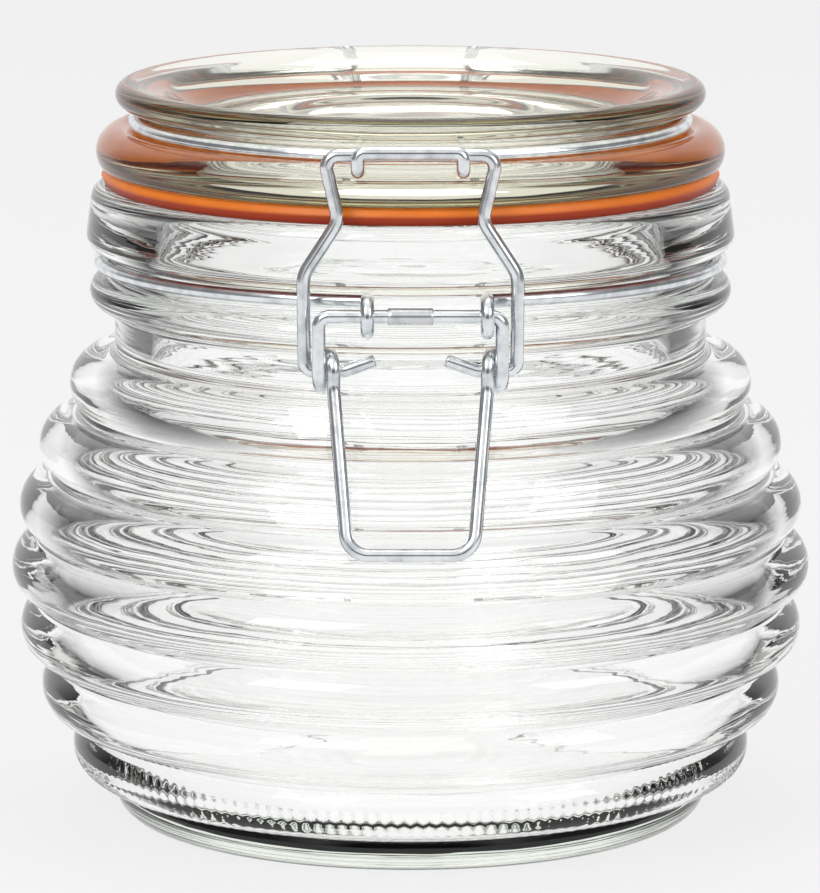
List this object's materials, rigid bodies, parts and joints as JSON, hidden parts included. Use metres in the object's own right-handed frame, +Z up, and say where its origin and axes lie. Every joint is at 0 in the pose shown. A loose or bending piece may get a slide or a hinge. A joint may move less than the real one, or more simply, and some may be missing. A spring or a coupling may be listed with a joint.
{
  "type": "bail clamp jar",
  "caption": "Ribbed glass preserving jar with a hinged glass lid, a rubber sealing ring and a wire lever clamp that pulls the lid shut.",
  "frame": {"origin": "centre of the flat underside of the jar's base, on the table", "axes": "+Z up along the jar's axis; -Y towards the clamp, which is the front; +Y towards the lid hinge; X along both hinge axes"},
  "size_m": [0.1236, 0.1242, 0.1134],
  "materials": {
    "jar_glass": "clear pressed glass",
    "lid_glass": "clear pressed glass, olive where thick",
    "rubber_ring": "smooth natural rubber",
    "wire": "bright plated spring wire",
    "sleeve": "plated sheet steel"
  },
  "bodies": {
    "jar": {"jar": "jar_glass", "neck_wire": "wire"},
    "lid": {"lid": "lid_glass", "gasket": "rubber_ring", "lid_wire": "wire"},
    "lever": {"lever": "wire", "lever_sleeve": "sleeve"},
    "bail": {"bail": "wire"}
  },
  "joints": [
    {"name": "lid_hinge", "type": "hinge", "parent": "jar", "child": "lid", "pos_m": [0, 0.0545, 0.096], "axis": [-1, 0, 0], "range_deg": [0, 110]},
    {"name": "lever_hinge", "type": "hinge", "parent": "jar", "child": "lever", "pos_m": [0, -0.053, 0.0854], "axis": [-1, 0, 0], "range_deg": [0, 72]},
    {"name": "bail_hinge", "type": "hinge", "parent": "lever", "child": "bail", "pos_m": [0, -0.0502, 0.07691], "axis": [-1, 0, 0], "range_deg": [-144, 0]}
  ],
  "couplings": [
    {"joint": "bail_hinge", "follows": "lever_hinge", "ratio": -2}
  ]
}
